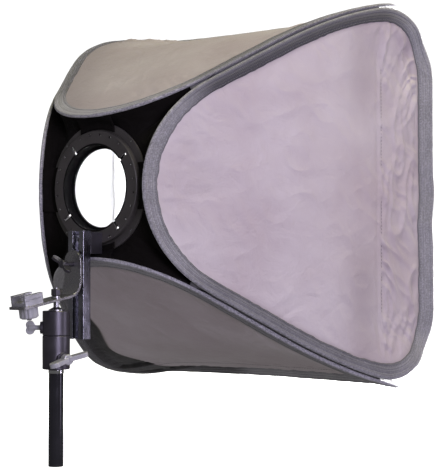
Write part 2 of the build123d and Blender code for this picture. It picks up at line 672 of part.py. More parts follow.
def screws():
    wing_screw("rail_wing_screw", RING_Z - CLAMP_DROP, FACE_Y, Vector(0, 1, 0), CLAMP_RADIUS,
               (RAIL_START + RAIL_WEB + 0.15, LEG_START + PLATE + 11), (5.0, 9.0), (30.0, 9.0, 3.4), 35)
    wing_screw("upper_lock_screw", UPPER_SCREW_Z, 0, UPPER_SCREW_DIR, CLAMP_RADIUS,
               (SPIGOT_RADIUS + 0.1, ADAPTER_RADIUS + 9), (4.4, 8.0), (12.0, 10.0, 5.0), 90)
    wing_screw("lower_wing_screw", LOWER_SCREW_Z, 0, LOWER_SCREW_DIR, CLAMP_RADIUS,
               (SPIGOT_RADIUS + 0.1, ADAPTER_RADIUS + 7), (6.5, 10.0), (46.0, 13.0, 5.5), -16)

    with BuildPart() as thumb_nut:
        with BuildSketch(level(NUT_BOTTOM)):
            RegularPolygon(NUT_RADIUS, 8)
            Circle(STUD_RADIUS + RUNNING, mode=Mode.SUBTRACT)
        extrude(amount=NUT_HEIGHT)
        rims = thumb_nut.faces().filter_by(Axis.Z).edges().filter_by(GeomType.LINE)
        chamfer(rims, length=0.7)
    save(thumb_nut, "thumb_nut")


def adapter():
    """Two-part barrel with a boss for each screw, and the stud spigot in its upper half."""
    for name, low, high, bore_low, bore_high, boss_z, boss_dir in (
            ("adapter_lower", ADAPTER_BOTTOM, ADAPTER_SEAM - 0.1, ADAPTER_BOTTOM, ADAPTER_SEAM - 3,
             LOWER_SCREW_Z, LOWER_SCREW_DIR),
            ("adapter_upper", ADAPTER_SEAM + 0.1, ADAPTER_TOP, ADAPTER_SEAM + 3, ADAPTER_TOP,
             UPPER_SCREW_Z, UPPER_SCREW_DIR)):
        with BuildPart() as barrel:
            with BuildSketch(level(low)):
                Circle(ADAPTER_RADIUS)
            extrude(amount=high - low)
            chamfer(barrel.edges(), length=0.7)
            boss = Plane(origin=(0, 0, boss_z), x_dir=(0, 0, 1), z_dir=boss_dir)
            with BuildSketch(boss):
                Circle(BOSS_RADIUS)
            extrude(amount=ADAPTER_RADIUS + 2.5)
            with BuildSketch(level(bore_low)):
                Circle(SPIGOT_RADIUS + RUNNING)
            extrude(amount=bore_high - bore_low, mode=Mode.SUBTRACT)
            with BuildSketch(boss):
                Circle(CLAMP_RADIUS + RUNNING)
            extrude(amount=ADAPTER_RADIUS + 4, mode=Mode.SUBTRACT)
        save(barrel, name)

    cone_top = ARM_Z - PLATE / 2 - 3.5
    with BuildPart() as spigot_stud:
        with BuildSketch(Plane.XZ):
            with BuildLine():
                Polyline((0, ADAPTER_SEAM + 4), (SPIGOT_RADIUS, ADAPTER_SEAM + 4),
                         (SPIGOT_RADIUS, ADAPTER_TOP + 0.1),
                         (SHOULDER_RADIUS, ADAPTER_TOP + 0.1),
                         (SHOULDER_RADIUS, ADAPTER_TOP + 1.4), (STUD_RADIUS + 1.2, ADAPTER_TOP + 4.5),
                         (STUD_RADIUS + 1.2, cone_top), (STUD_RADIUS, cone_top),
                         (STUD_RADIUS, NUT_BOTTOM + NUT_HEIGHT + 1.2),
                         (0, NUT_BOTTOM + NUT_HEIGHT + 1.2), close=True)
            make_face()
        revolve(axis=Axis.Z)
    save(spigot_stud, "spigot_stud")


def stand_top():
    """Top section of the light stand: tube, collar and the spigot that enters the adapter."""
    with BuildPart() as stand_tube:
        with BuildSketch(level(0)):
            Circle(TUBE_RADIUS)
            Circle(TUBE_BORE, mode=Mode.SUBTRACT)
        extrude(amount=TUBE_TOP)
    save(stand_tube, "stand_tube")

    with BuildPart() as stand_collar:
        with BuildSketch(level(TUBE_TOP)):
            Circle(COLLAR_RADIUS)
            Circle(SPIGOT_RADIUS, mode=Mode.SUBTRACT)
        extrude(amount=ADAPTER_BOTTOM - TUBE_TOP - 0.3)
        chamfer(stand_collar.edges().group_by(Axis.Z)[-1].sort_by(SortBy.RADIUS)[-1], length=0.8)
    save(stand_collar, "stand_collar")

    with BuildPart() as stand_spigot:
        with BuildSketch(level(TUBE_TOP - PLUG_LENGTH)):
            Circle(TUBE_BORE - RUNNING)
        extrude(amount=PLUG_LENGTH)
        with BuildSketch(level(TUBE_TOP)):
            Circle(SPIGOT_RADIUS)
        extrude(amount=ADAPTER_SEAM - 5 - TUBE_TOP)
        chamfer(stand_spigot.edges().group_by(Axis.Z)[-1], length=1.0)
    save(stand_spigot, "stand_spigot")


side_panels()
rear_cloth()
speed_ring()
front_diffuser()
rail_parts()
bracket()
flash_shoe()
screws()
adapter()
stand_top()
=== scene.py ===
import json
from math import atan2, cos, pi, radians, sin, sqrt, tan

import bpy
import numpy as np
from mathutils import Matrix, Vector


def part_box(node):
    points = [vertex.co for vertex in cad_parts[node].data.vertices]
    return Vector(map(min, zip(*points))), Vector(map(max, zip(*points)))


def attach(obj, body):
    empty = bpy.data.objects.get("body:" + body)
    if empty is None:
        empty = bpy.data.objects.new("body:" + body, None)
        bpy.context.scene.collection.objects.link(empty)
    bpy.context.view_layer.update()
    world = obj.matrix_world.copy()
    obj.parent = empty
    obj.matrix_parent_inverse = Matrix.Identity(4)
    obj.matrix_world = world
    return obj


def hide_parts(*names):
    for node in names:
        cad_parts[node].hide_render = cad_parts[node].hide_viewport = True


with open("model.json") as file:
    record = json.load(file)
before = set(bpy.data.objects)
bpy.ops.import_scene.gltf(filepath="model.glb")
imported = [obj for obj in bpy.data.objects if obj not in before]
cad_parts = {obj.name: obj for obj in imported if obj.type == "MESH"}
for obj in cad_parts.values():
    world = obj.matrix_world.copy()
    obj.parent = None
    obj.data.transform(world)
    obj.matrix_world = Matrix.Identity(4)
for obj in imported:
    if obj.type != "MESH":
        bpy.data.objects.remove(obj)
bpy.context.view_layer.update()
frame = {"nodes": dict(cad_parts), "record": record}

# ------------------------------------------------------------------ sizes, metres, as in the CAD
plate_low, plate_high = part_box("index_plate")
RING = np.array([(plate_low.x + plate_high.x) / 2, plate_high.y, (plate_low.z + plate_high.z) / 2])
APEX_DEPTH, APEX_RADIUS = -0.009, 0.089
SLOPE = radians(33)
BEND_DEPTH, FRONT_DEPTH = 0.140, 0.396
CORNER = 0.093
MITRE_GAP = 0.003
BINDING = 0.018
DIFFUSER_DEPTH = 0.294
STRIP_WIDTH, STRIP_HALF = 0.024, 0.200
BEND_R = APEX_RADIUS + (BEND_DEPTH - APEX_DEPTH) * tan(SLOPE)
ARC = (FRONT_DEPTH - BEND_DEPTH) / sin(SLOPE)
ARC_CENTRE = BEND_R - ARC * cos(SLOPE)
REAR_ARC = (APEX_RADIUS - MITRE_GAP) * cos(SLOPE) / (1 - sin(SLOPE))
SIDES = ("left", "top", "right", "bottom")
OUT = {"left": (-1, 0, 0), "top": (0, 0, 1), "right": (1, 0, 0), "bottom": (0, 0, -1)}
ALONG = {"left": (0, 0, 1), "top": (1, 0, 0), "right": (0, 0, -1), "bottom": (-1, 0, 0)}
FORWARD = np.array([0.0, -1.0, 0.0])


# ------------------------------------------------------------------ small numeric helpers
def smooth(x, low, high):
    t = np.clip((np.asarray(x, float) - low) / (high - low), 0, 1)
    return t * t * (3 - 2 * t)


def lattice(ix, iy, seed):
    """Repeatable value from 0 to 1 for each whole-number point."""
    n = (ix.astype(np.int64) * 374761393 + iy.astype(np.int64) * 668265263 + seed * 974634777)
    n = (n ^ (n >> 13)) * 1274126177
    return ((n ^ (n >> 16)) & 0xFFFFF) / 0xFFFFF


def noise(x, y, seed):
    """Smooth value noise from -1 to 1, one cell per unit."""
    x, y = np.broadcast_arrays(np.asarray(x, float), np.asarray(y, float))
    ix, iy = np.floor(x), np.floor(y)
    fx, fy = x - ix, y - iy
    fx, fy = fx * fx * (3 - 2 * fx), fy * fy * (3 - 2 * fy)
    a, b = lattice(ix, iy, seed), lattice(ix + 1, iy, seed)
    c, d = lattice(ix, iy + 1, seed), lattice(ix + 1, iy + 1, seed)
    return 2 * ((a * (1 - fx) + b * fx) * (1 - fy) + (c * (1 - fx) + d * fx) * fy) - 1


def ridged(x, y, seed):
    """Sharp-crested folds, from 0 in the troughs to 1 on the crests."""
    return (1 - np.abs(noise(x, y, seed))) ** 2


# ------------------------------------------------------------------ shape of a side panel
def panel_radius(depth):
    depth = np.asarray(depth, float)
    line = APEX_RADIUS + (depth - APEX_DEPTH) * tan(SLOPE)
    arc = ARC_CENTRE + np.sqrt(np.maximum(ARC**2 - (FRONT_DEPTH - depth) ** 2, 0))
    return np.where(depth < BEND_DEPTH, line, arc)


def panel_slope(depth):
    arc = np.arcsin(np.clip((FRONT_DEPTH - np.asarray(depth, float)) / ARC, -1, 1))
    return np.where(depth < BEND_DEPTH, SLOPE, arc)


TAPE_REAR, TAPE_EXTRA = 0.0160, 0.0085


def tape_width(depth):
    """The tape is folded over further toward the front."""
    return TAPE_REAR + TAPE_EXTRA * smooth(depth, 0.20, 0.39)


# how far the frame hangs and the cloth draws in; then the depths, metres, over which each comes on
TOP_DIP, NEAR_TOP_DROP, NEAR_BOTTOM_DROP, FAR_BOTTOM_DROP = 0.005, 0.005, 0.0035, 0.008
SIDE_HOLLOW, TOP_HOLLOW, BOTTOM_HOLLOW = 0.009, 0.0135, 0.0125
HANG_DEPTHS, SIDE_DEPTHS, FLAT_DEPTHS = (0.10, 0.42), (0.20, 0.33), (0.14, 0.28)
FAR_DROP_DEPTHS, FAR_RISE_DEPTHS, FAR_RISE = (0.12, 0.25), (0.34, 0.40), 0.7
FLARE_RUN = 0.026                 # behind the front edge, where the tape turns outward again
SHORT_RUN, LONG_RUN = 0.050, 0.130  # in from a tape's edge to the full hollow
EDGE_WAVE = 0.003
WAVE_BACK, WAVE_FORTH = (0.003, 0.020), (-0.044, 0.016)  # height from the ring's axis, and width


def settle(points):
    """How the frame hangs once the cloth pulls on it.

    The diffuser draws the cloth in behind the front edges, so the tapes there flare outward. The top
    edge dips, the left corners and the far bottom edge hang a little, and the left front edge waves.
    """
    p = points - RING
    depth, x, z = -p[..., 1], p[..., 0], p[..., 2]
    reach = panel_radius(np.clip(depth, APEX_DEPTH, FRONT_DEPTH))
    share_x, share_z = (np.clip(np.abs(v) / reach, 0, 1.02) ** 3 for v in (x, z))
    left, right = np.clip(-x / reach, 0, 1), np.clip(x / reach, 0, 1)
    hang = smooth(depth, *HANG_DEPTHS)
    top_drop = hang * (TOP_DIP * np.clip(1 - (x / reach) ** 2, 0, 1) + NEAR_TOP_DROP * left)
    far = right * (smooth(depth, *FAR_DROP_DEPTHS) - FAR_RISE * smooth(depth, *FAR_RISE_DEPTHS))
    bottom_drop = hang * NEAR_BOTTOM_DROP * left + FAR_BOTTOM_DROP * far
    flare = smooth(FRONT_DEPTH - depth, 0.0, FLARE_RUN)
    clear = reach - MITRE_GAP - tape_width(depth)
    run = np.where(x > 0, LONG_RUN, SHORT_RUN)
    hollow_x = share_x * flare * smooth(depth, *SIDE_DEPTHS) * smooth((clear - np.abs(z)) / SHORT_RUN, 0, 1)
    hollow_z = share_z * flare * smooth(depth, *FLAT_DEPTHS) * smooth((clear - np.abs(x)) / run, 0, 1)
    moved = points.copy()
    moved[..., 0] -= np.sign(x) * SIDE_HOLLOW * hollow_x
    moved[..., 2] += hollow_z * np.where(z > 0, -TOP_HOLLOW, BOTTOM_HOLLOW)
    moved[..., 2] -= share_z * np.where(z > 0, top_drop, bottom_drop)
    back, forth = (np.exp(-(((z - at) / width) ** 2)) for at, width in (WAVE_BACK, WAVE_FORTH))
    moved[..., 1] -= EDGE_WAVE * (back - forth) * smooth(depth, 0.34, 0.39) * smooth(left, 0.90, 0.98)
    return moved


def place(side, depth, across, height):
    """Points height above a panel's mid surface, at a depth and a distance across it."""
    depth, across, height = np.broadcast_arrays(*(np.asarray(a, float) for a in (depth, across, height)))
    slope = panel_slope(depth)
    go = (depth - height * np.sin(slope))[..., None] * FORWARD
    out = (panel_radius(depth) + height * np.cos(slope))[..., None] * np.array(OUT[side], float)
    return settle(RING + go + out + across[..., None] * np.array(ALONG[side], float))


def hoop_curve(count):
    """Evenly spaced points round a hoop's outline and their inward normals, apex first."""
    centre = APEX_DEPTH + REAR_ARC
    turn = np.linspace(0, pi / 2 - SLOPE, 200)
    rear = np.c_[centre - REAR_ARC * np.cos(turn), REAR_ARC * np.sin(turn)]
    arc_low = ARC_CENTRE - MITRE_GAP
    corner_depth = FRONT_DEPTH - CORNER
    corner_across = arc_low + sqrt((ARC - CORNER) ** 2 - CORNER**2)
    tangent_depth = FRONT_DEPTH - CORNER * ARC / (ARC - CORNER)
    depth = np.linspace(rear[-1, 0], tangent_depth, 300)[1:]
    mitre = np.c_[depth, panel_radius(depth) - MITRE_GAP]
    start = atan2(mitre[-1, 1] - corner_across, mitre[-1, 0] - corner_depth)
    turn = np.linspace(start, 0, 120)[1:]
    corner = np.c_[corner_depth + CORNER * np.cos(turn), corner_across + CORNER * np.sin(turn)]
    front = np.c_[np.full(60, FRONT_DEPTH), np.linspace(corner[-1, 1], 0, 60)][1:]
    half = np.vstack([rear, mitre, corner, front])
    loop = np.vstack([half, (half * [1, -1])[::-1][1:]])
    length = np.r_[0, np.cumsum(np.hypot(*np.diff(loop, axis=0).T))]
    at = np.linspace(0, length[-1], count, endpoint=False)
    points = np.c_[np.interp(at, length, loop[:, 0]), np.interp(at, length, loop[:, 1])]
    run = np.roll(points, -1, 0) - np.roll(points, 1, 0)
    run /= np.linalg.norm(run, axis=1)[:, None]
    return points, np.c_[run[:, 1], -run[:, 0]], at


# ------------------------------------------------------------------ meshes
def make(name, verts, faces, body, finish, uvs=None, node=(), thick=0.0, flat=False, folds=None):
    mesh = bpy.data.meshes.new(name)
    mesh.from_pydata([tuple(v) for v in np.asarray(verts, float)], [], faces)
    mesh.validate()
    if uvs is not None:
        layer = mesh.uv_layers.new(name="cloth")
        index = np.empty(len(mesh.loops), int)
        mesh.loops.foreach_get("vertex_index", index)
        layer.data.foreach_set("uv", np.asarray(uvs, float)[index].ravel())
    # the fold attribute carries painted shade into the cloth and tape colours
    if folds is not None:
        attribute = mesh.attributes.new("fold", "FLOAT", "POINT")
        attribute.data.foreach_set("value", np.asarray(folds, np.float32))
    mesh.polygons.foreach_set("use_smooth", [not flat] * len(mesh.polygons))
    mesh.update()
    piece = bpy.data.objects.new(name, mesh)
    bpy.context.scene.collection.objects.link(piece)
    if thick:
        shell = piece.modifiers.new("thickness", "SOLIDIFY")
        shell.thickness, shell.offset = thick, 0
    mesh.materials.append(finish)
    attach(piece, body)
    if node:
        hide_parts(*node)
    return piece


def grid_faces(rows, columns, closed=False):
    faces = []
    for r in range(rows - 1):
        for c in range(columns if closed else columns - 1):
            n = (c + 1) % columns
            faces.append((r * columns + c, r * columns + n, (r + 1) * columns + n, (r + 1) * columns + c))
    return faces


def tube_faces(rings, section):
    """Faces of a closed section swept round a closed path."""
    faces = []
    for r in range(rings):
        m = (r + 1) % rings
        for c in range(section):
            n = (c + 1) % section
            faces.append((r * section + c, r * section + n, m * section + n, m * section + c))
    return faces


def bag(shapes):
    """One mesh out of many (vertices, faces) pairs."""
    verts, faces, start = [], [], 0
    for v, f in shapes:
        verts.append(np.asarray(v, float))
        faces += [tuple(i + start for i in one) for one in f]
        start += len(v)
    return np.vstack(verts), faces


# ------------------------------------------------------------------ materials
class Look:
    """A node material, built up from noise, weave and lighter edges, partly rubbed and partly painted
    highlight.
    """

    def __init__(self, name, color, rough, metal=0.0, **sockets):
        self.material = bpy.data.materials.new(name)
        self.material.use_nodes = True
        self.nodes = self.material.node_tree.nodes
        self.links = self.material.node_tree.links
        self.shader = self.nodes["Principled BSDF"]
        self.set("Base Color", (*color, 1))
        self.set("Roughness", rough)
        self.set("Metallic", metal)
        for key, value in sockets.items():
            self.set(key.replace("_", " "), value)
        self.coords = self.nodes.new("ShaderNodeTexCoord")

    def set(self, socket, value):
        if isinstance(value, bpy.types.NodeSocket):
            self.links.new(value, self.shader.inputs[socket])
        else:
            self.shader.inputs[socket].default_value = value

    def node(self, kind, values, **props):
        node = self.nodes.new(kind)
        for key, value in props.items():
            setattr(node, key, value)
        for key, value in values.items():
            if isinstance(value, bpy.types.NodeSocket):
                self.links.new(value, node.inputs[key])
            else:
                node.inputs[key].default_value = value
        return node

    def where(self, stretch=(1, 1, 1), uv=False):
        source = self.coords.outputs["UV" if uv else "Object"]
        return self.node("ShaderNodeMapping", {"Vector": source, "Scale": stretch}).outputs[0]

    def noise(self, scale, detail=3.0, rough=0.5, twist=0.0, stretch=(1, 1, 1)):
        return self.node("ShaderNodeTexNoise", {"Vector": self.where(stretch), "Scale": scale,
                         "Detail": detail, "Roughness": rough, "Distortion": twist}).outputs[0]

    def weave(self, pitch):
        """Crossing threads, pitch metres apart."""
        scale = 2 * pi / 20 / pitch
        ways = [self.node("ShaderNodeTexWave", {"Vector": self.where(uv=True), "Scale": scale,
                          "Distortion": 0.6, "Detail": 1.0, "Detail Scale": 0.4},
                          bands_direction=way).outputs["Fac"] for way in ("X", "Y")]
        return self.math("MULTIPLY", *ways)

    def math(self, operation, a, b=0.0):
        return self.node("ShaderNodeMath", {0: a, 1: b}, operation=operation).outputs[0]

    def ramp(self, value, low, high, to_low=0.0, to_high=1.0):
        return self.node("ShaderNodeMapRange", {"Value": value, "From Min": low, "From Max": high,
                         "To Min": to_low, "To Max": to_high}).outputs[0]

    def mix(self, share, a, b):
        node = self.nodes.new("ShaderNodeMix")
        node.data_type = "RGBA"
        for socket, value in ((node.inputs[0], share), (node.inputs[6], a), (node.inputs[7], b)):
            if isinstance(value, bpy.types.NodeSocket):
                self.links.new(value, socket)
            else:
                socket.default_value = value if isinstance(value, float) else (*value, 1)
        return node.outputs[2]

    def bump(self, height, strength, distance=0.001, normal=None):
        values = {"Height": height, "Strength": strength, "Distance": distance}
        if normal is not None:
            values["Normal"] = normal
        return self.node("ShaderNodeBump", values).outputs[0]

    def edges(self, radius):
        """(rounded normal, mask that is 1 along the edges)."""
        soft = self.node("ShaderNodeBevel", {"Radius": radius}, samples=4).outputs[0]
        true = self.nodes.new("ShaderNodeNewGeometry").outputs["Normal"]
        same = self.node("ShaderNodeVectorMath", {0: soft, 1: true}, operation="DOT_PRODUCT").outputs[1]
        return soft, self.ramp(same, 0.999, 0.90)


def shade(color, by):
    return tuple(min(c * by, 1.0) for c in color)


def cloth(name, color, rough, pitch=0.0009, sheen=0.25, blotch=0.12, crease=0.35, shadow=None, **sockets):
    """Thin woven cloth: threads, fine creases, slow colour drift, soft sheen, and painted shade in the
    folds.
    """
    look = Look(name, color, rough, Sheen_Weight=sheen, Sheen_Roughness=0.45, **sockets)
    threads = look.weave(pitch)
    drift = look.noise(7.0, 4.0, 0.6)
    fine = look.noise(95.0, 5.0, 0.62, 1.2)
    dark, light = shade(shadow or color, 1 - blotch), shade(color, 1 + blotch)
    tint = look.mix(look.ramp(drift, 0.35, 0.68), dark, light)
    tint = look.mix(look.ramp(threads, 0.0, 1.0, 0.0, 0.16), tint, shade(color, 0.62))
    if shadow:
        # painted shade: the fold value darkens the cloth toward the shadow colour, and to near black past
        # 0.5
        fold = look.node("ShaderNodeAttribute", {}, attribute_name="fold").outputs["Fac"]
        tint = look.mix(look.ramp(fold, 0.0, 0.5), tint, shade(shadow, 0.72))
        tint = look.mix(look.ramp(fold, 0.5, 1.0), tint, shade(shadow, 0.02))
    look.set("Base Color", tint)
    look.set("Roughness", look.ramp(fine, 0.3, 0.7, rough - 0.07, rough + 0.08))
    soft = look.bump(look.noise(26.0, 4.0, 0.55, 0.8), crease, 0.004)
    look.set("Normal", look.bump(threads, 0.35, 0.0003, look.bump(fine, crease * 0.8, 0.0012, soft)))
    return look


def tape_cloth(name, color, rough):
    """Coarse woven tape: crossing threads, cords along it, and a pale speckled painted highlight where it
    turns over.
    """
    look = Look(name, color, rough, Sheen_Weight=0.35, Sheen_Roughness=0.5)
    threads = look.weave(0.0022)
    drift = look.noise(30.0, 4.0, 0.6)
    speck = look.noise(420.0, 2.0, 0.6)
    span = look.node("ShaderNodeSeparateXYZ", {0: look.coords.outputs["UV"]}).outputs[1]
    off_edge = look.math("ABSOLUTE", look.math("SUBTRACT", span, TAPE_TURN))
    cords = look.math("SINE", look.math("MULTIPLY", off_edge, 2 * pi / TAPE_CORD))
    # painted highlight: a pale speckled line along the turned-over edge
    lit_turn_line = look.math("MULTIPLY", look.ramp(off_edge, 0.0040, 0.0012), look.ramp(speck, 0.35, 0.62))
    hem = look.ramp(off_edge, TAPE_TURN - 0.0024, TAPE_TURN - 0.0008)
    tint = look.mix(look.ramp(drift, 0.35, 0.65), shade(color, 0.80), shade(color, 1.20))
    tint = look.mix(look.ramp(threads, 0.05, 0.75, 0.45, 0.0), tint, shade(color, 0.42))
    tint = look.mix(look.ramp(cords, -1.0, 1.0, 0.22, 0.0), tint, shade(color, 0.45))
    tint = look.mix(look.ramp(speck, 0.45, 0.70, 0.0, 0.35), tint, shade(color, 2.0))
    tint = look.mix(look.math("MULTIPLY", lit_turn_line, 0.55), tint, shade(color, 2.4))
    tint = look.mix(look.math("MULTIPLY", hem, 0.80), tint, shade(color, 0.25))
    # painted shade from the fold value, weaker toward the turned-over edge
    fold = look.node("ShaderNodeAttribute", {}, attribute_name="fold").outputs["Fac"]
    shade_across_tape = look.ramp(off_edge, 0.003, 0.011, 0.50, 0.92)
    tint = look.mix(look.math("MULTIPLY", fold, shade_across_tape), tint, (0.022, 0.020, 0.028))
    look.set("Base Color", tint)
    look.set("Roughness", look.ramp(speck, 0.3, 0.7, rough - 0.1, rough + 0.1))
    ribbed = look.bump(cords, 0.35, 0.0004, look.bump(speck, 0.5, 0.0005))
    look.set("Normal", look.bump(threads, 0.7, 0.0005, ribbed))
    return look


def metal(name, color, rough, metallic=1.0, edge_wear_and_highlight=0.25, brush=(1, 1, 1), grain=0.08, bevel=0.0006,
          rubbed_and_lit_edge_color=(0.72, 0.72, 0.72), **sockets):
    """Finished metal: brushed or sprayed grain, dulled patches, and bright edges, partly rubbed and partly
    a painted highlight.
    """
    look = Look(name, color, rough, metallic, **sockets)
    soft, edge = look.edges(bevel)
    patch = look.noise(38.0, 5.0, 0.6, 0.4)
    lines = look.noise(420.0, 3.0, 0.6, 0.0, brush)
    # bright edges: partly rubbed metal, partly a painted highlight along them
    rubbed_and_lit_edge = look.math("MULTIPLY", edge, look.ramp(look.noise(160.0, 4.0, 0.7), 0.42, 0.62))
    tint = look.mix(look.ramp(patch, 0.3, 0.7), shade(color, 0.86), shade(color, 1.10))
    look.set("Base Color", look.mix(look.math("MULTIPLY", rubbed_and_lit_edge, edge_wear_and_highlight), tint, rubbed_and_lit_edge_color))
    spread = look.ramp(patch, 0.3, 0.7, max(rough - 0.06, 0.03), rough + 0.08)
    look.set("Roughness", look.math("ADD", spread, look.ramp(lines, 0.3, 0.7, -0.03, 0.05)))
    look.set("Normal", look.bump(lines, grain, 0.0003, soft))
    return look


TAPE_CORD = 0.0036
TAPE_TURN = 0.0195                # round the tape's section, from its inner edge to where it turns over
SHELL = cloth("shell_cloth", (0.45, 0.402, 0.425), 0.47, sheen=0.15, crease=0.46, blotch=0.04,
              shadow=(0.40, 0.335, 0.358), Metallic=0.07)
LINING = cloth("lining_cloth", (0.90, 0.90, 0.91), 0.34, sheen=0.1, blotch=0.04, crease=0.5, Metallic=0.25)
TAPE = tape_cloth("binding_tape", (0.220, 0.214, 0.238), 0.60)
BLACK = cloth("black_cloth", (0.0040, 0.0031, 0.0027), 0.85, pitch=0.0012, sheen=0.01, blotch=0.2,
              crease=0.5, Specular_IOR_Level=0.10)
THREAD = cloth("thread", (0.10, 0.095, 0.11), 0.8, pitch=0.0006, sheen=0.3, crease=0.1)
DIFFUSER = cloth("diffuser_cloth", (0.93, 0.93, 0.94), 0.75, pitch=0.0008, sheen=0.2, blotch=0.02,
                 crease=0.2)
HOOK = cloth("hook_and_loop", (0.88, 0.88, 0.89), 0.95, pitch=0.0015, sheen=0.5, crease=0.3)
SPRING = metal("spring_steel", (0.52, 0.53, 0.56), 0.30)
RING_METAL = metal("ring_metal", (0.046, 0.042, 0.040), 0.40, 0.0, edge_wear_and_highlight=0.25, grain=0.30, bevel=0.0005,
                   rubbed_and_lit_edge_color=(0.16, 0.15, 0.14))
# painted shade: the bore is a near-black, dull copy of the ring metal, for the shade it stands in
SHADED_BORE = metal("ring_bore_painted_shade", (0.0025, 0.0024, 0.0023), 0.65, 0.0, edge_wear_and_highlight=0.05, grain=0.2,
             Specular_IOR_Level=0.15)
STEEL = metal("fastener_steel", (0.50, 0.50, 0.52), 0.26)
RAIL = metal("rail_metal", (0.34, 0.34, 0.39), 0.22, brush=(1, 1, 0.03), grain=0.08, edge_wear_and_highlight=0.12,
             bevel=0.0004)
BLACK_METAL = metal("black_metal", (0.110, 0.104, 0.122), 0.34, 0.85, edge_wear_and_highlight=0.30, grain=0.12)
SHOE = metal("shoe_steel", (0.46, 0.46, 0.50), 0.22, 0.70, brush=(1, 0.04, 1), grain=0.12, bevel=0.0006)
BRACKET = metal("bracket_steel", (0.30, 0.295, 0.30), 0.26, 0.85, brush=(1, 0.04, 1), grain=0.12,
                bevel=0.0008, edge_wear_and_highlight=0.9)
GREY_PAINT = metal("grey_paint", (0.40, 0.40, 0.43), 0.34, 0.35, edge_wear_and_highlight=0.5, grain=0.3, bevel=0.0012)
TUBE_PAINT = metal("tube_paint", (0.050, 0.049, 0.058), 0.14, 0.7, edge_wear_and_highlight=0.15, grain=0.02)
CHROME = metal("chrome", (0.80, 0.80, 0.82), 0.10, grain=0.02)

CAD_FINISH = {"ring_metal": RING_METAL, "fastener_steel": STEEL, "rail_metal": RAIL, "chrome": CHROME,
              "black_metal": BLACK_METAL, "bracket_steel": BRACKET, "grey_paint": GREY_PAINT,
              "tube_paint": TUBE_PAINT, "shell_cloth": SHELL, "lining_cloth": LINING,
              "binding_tape": TAPE, "black_cloth": BLACK, "spring_steel": SPRING,
              "diffuser_cloth": DIFFUSER, "hook_and_loop": HOOK}
OWN_FINISH = {"ring_sleeve": SHADED_BORE, "cold_shoe": SHOE, "rail_wing_screw": BLACK_METAL}
for part in frame["record"]["subparts"]:
    solid = frame["nodes"][part["node"]]
    solid.data.materials.clear()
    finish = OWN_FINISH.get(part["node"], CAD_FINISH[part["material_slot"]])
    solid.data.materials.append(finish.material)

# ------------------------------------------------------------------ side panels
SEAM_DEPTH = DIFFUSER_DEPTH - 0.006
TUCK_REAR, TUCK_SIDE, TUCK_FRONT = 0.009, 0.020, 0.080
TUCK_DROP = 0.0050
TUCK_SHADE = 1.5                  # past 1, so that the tape is dark right across
SLACK_BROAD, SLACK_FINE, SLACK_RIDGES = 0.0015, 0.0008, 0.0009
FAN_HEIGHT, GATHER_HEIGHT = 0.0042, 0.0036
LONG_FOLD, SHORT_FOLD = 0.0042, 0.0020
SEAM_RIDGE, SEAM_GROOVE = 0.0007, 0.0012
FLAT_SIDE_GAIN = 0.6              # the top and bottom are pulled tighter than the left and right


def tuck(depth, across, inner):
    """Deep fold just inside the far edge of the bottom panel, which dies out toward the middle."""
    far = smooth(-across, 0.0, 0.09) * smooth(depth, 0.02, 0.09)
    taper = 0.1 + 0.9 * smooth(depth, 0.04, 0.17)
    width = (TUCK_REAR + TUCK_SIDE * smooth(-across, 0.05, 0.14)) * taper
    width = width + TUCK_FRONT * smooth(-across, 0.09, 0.20) * smooth(depth, 0.19, 0.29)
    return far * smooth(inner, width + 0.008, width - 0.003)


def relief(side, depth, across, edge, along, seed):
    """Height of the cloth's folds. edge is the distance in from the hoop, along the way round it.

    The plain numbers that multiply positions are cells of noise per metre.
    """
    inner = np.maximum(edge - tape_width(depth), 0)
    behind = SEAM_DEPTH - depth
    slack = SLACK_BROAD * noise(depth * 6.5, across * 6.5, seed)
    slack = slack + SLACK_FINE * noise(depth * 17, across * 17, seed + 1)
    slack = slack + SLACK_RIDGES * ridged(depth * 44 + across * 26, across * 38 - depth * 14, seed + 13)

    slow = np.clip(0.5 + 0.9 * noise(along * 4.5, 0.5, seed + 2), 0.05, 1.3)
    corner = smooth(depth, 0.26, 0.38) * smooth(np.abs(across), 0.08, 0.19)
    bend = 1.6 * noise(depth * 30, across * 30, seed + 3)
    fan = (ridged(along * 58 + bend, inner * 9, seed + 4) - 0.4) * FAN_HEIGHT * (slow + 1.1 * corner)
    fan = fan * np.exp(-inner / (0.026 + 0.016 * corner)) * smooth(inner, 0.001, 0.010)

    sway = 0.9 * noise(depth * 24, across * 9, seed + 9)
    gather = ridged(across * 52 + sway, depth * 7, seed + 5) - 0.4
    gather = gather * GATHER_HEIGHT * np.clip(0.55 + noise(across * 6, 0.4, seed + 10), 0, 1.2)
    gather = gather * np.where(behind > 0, np.exp(-np.maximum(behind, 0) / 0.030), 0.0)

    long_folds = ridged(across * 16 + 0.9 * noise(depth * 46, across * 22, seed + 6),
                        depth * 92 + 1.5 * noise(across * 19, depth * 16, seed + 7), seed + 8) - 0.42
    short_folds = ridged(across * 68 + 62 * depth + 0.7 * noise(across * 30, depth * 40, seed + 14),
                         depth * 24, seed + 11) - 0.42
    near_seam = 1 + 1.6 * np.exp(np.minimum(behind, 0) / 0.012)
    band = (long_folds * LONG_FOLD + short_folds * SHORT_FOLD * near_seam) * smooth(-behind, 0.0, 0.006)
    seam = SEAM_RIDGE * np.exp(-((behind / 0.0020) ** 2))
    seam = seam - SEAM_GROOVE * np.exp(-(((behind - 0.004) / 0.003) ** 2))

    gain = 1.0 if side in ("left", "right") else FLAT_SIDE_GAIN
    pulled = (gather + band + seam) * smooth(inner, 0.0, 0.008)
    height = gain * (slack * smooth(inner, 0.0, 0.035) + fan + pulled)
    if side == "bottom":
        height -= TUCK_DROP * tuck(depth, across, inner) * smooth(inner, 0.001, 0.014)
    return height


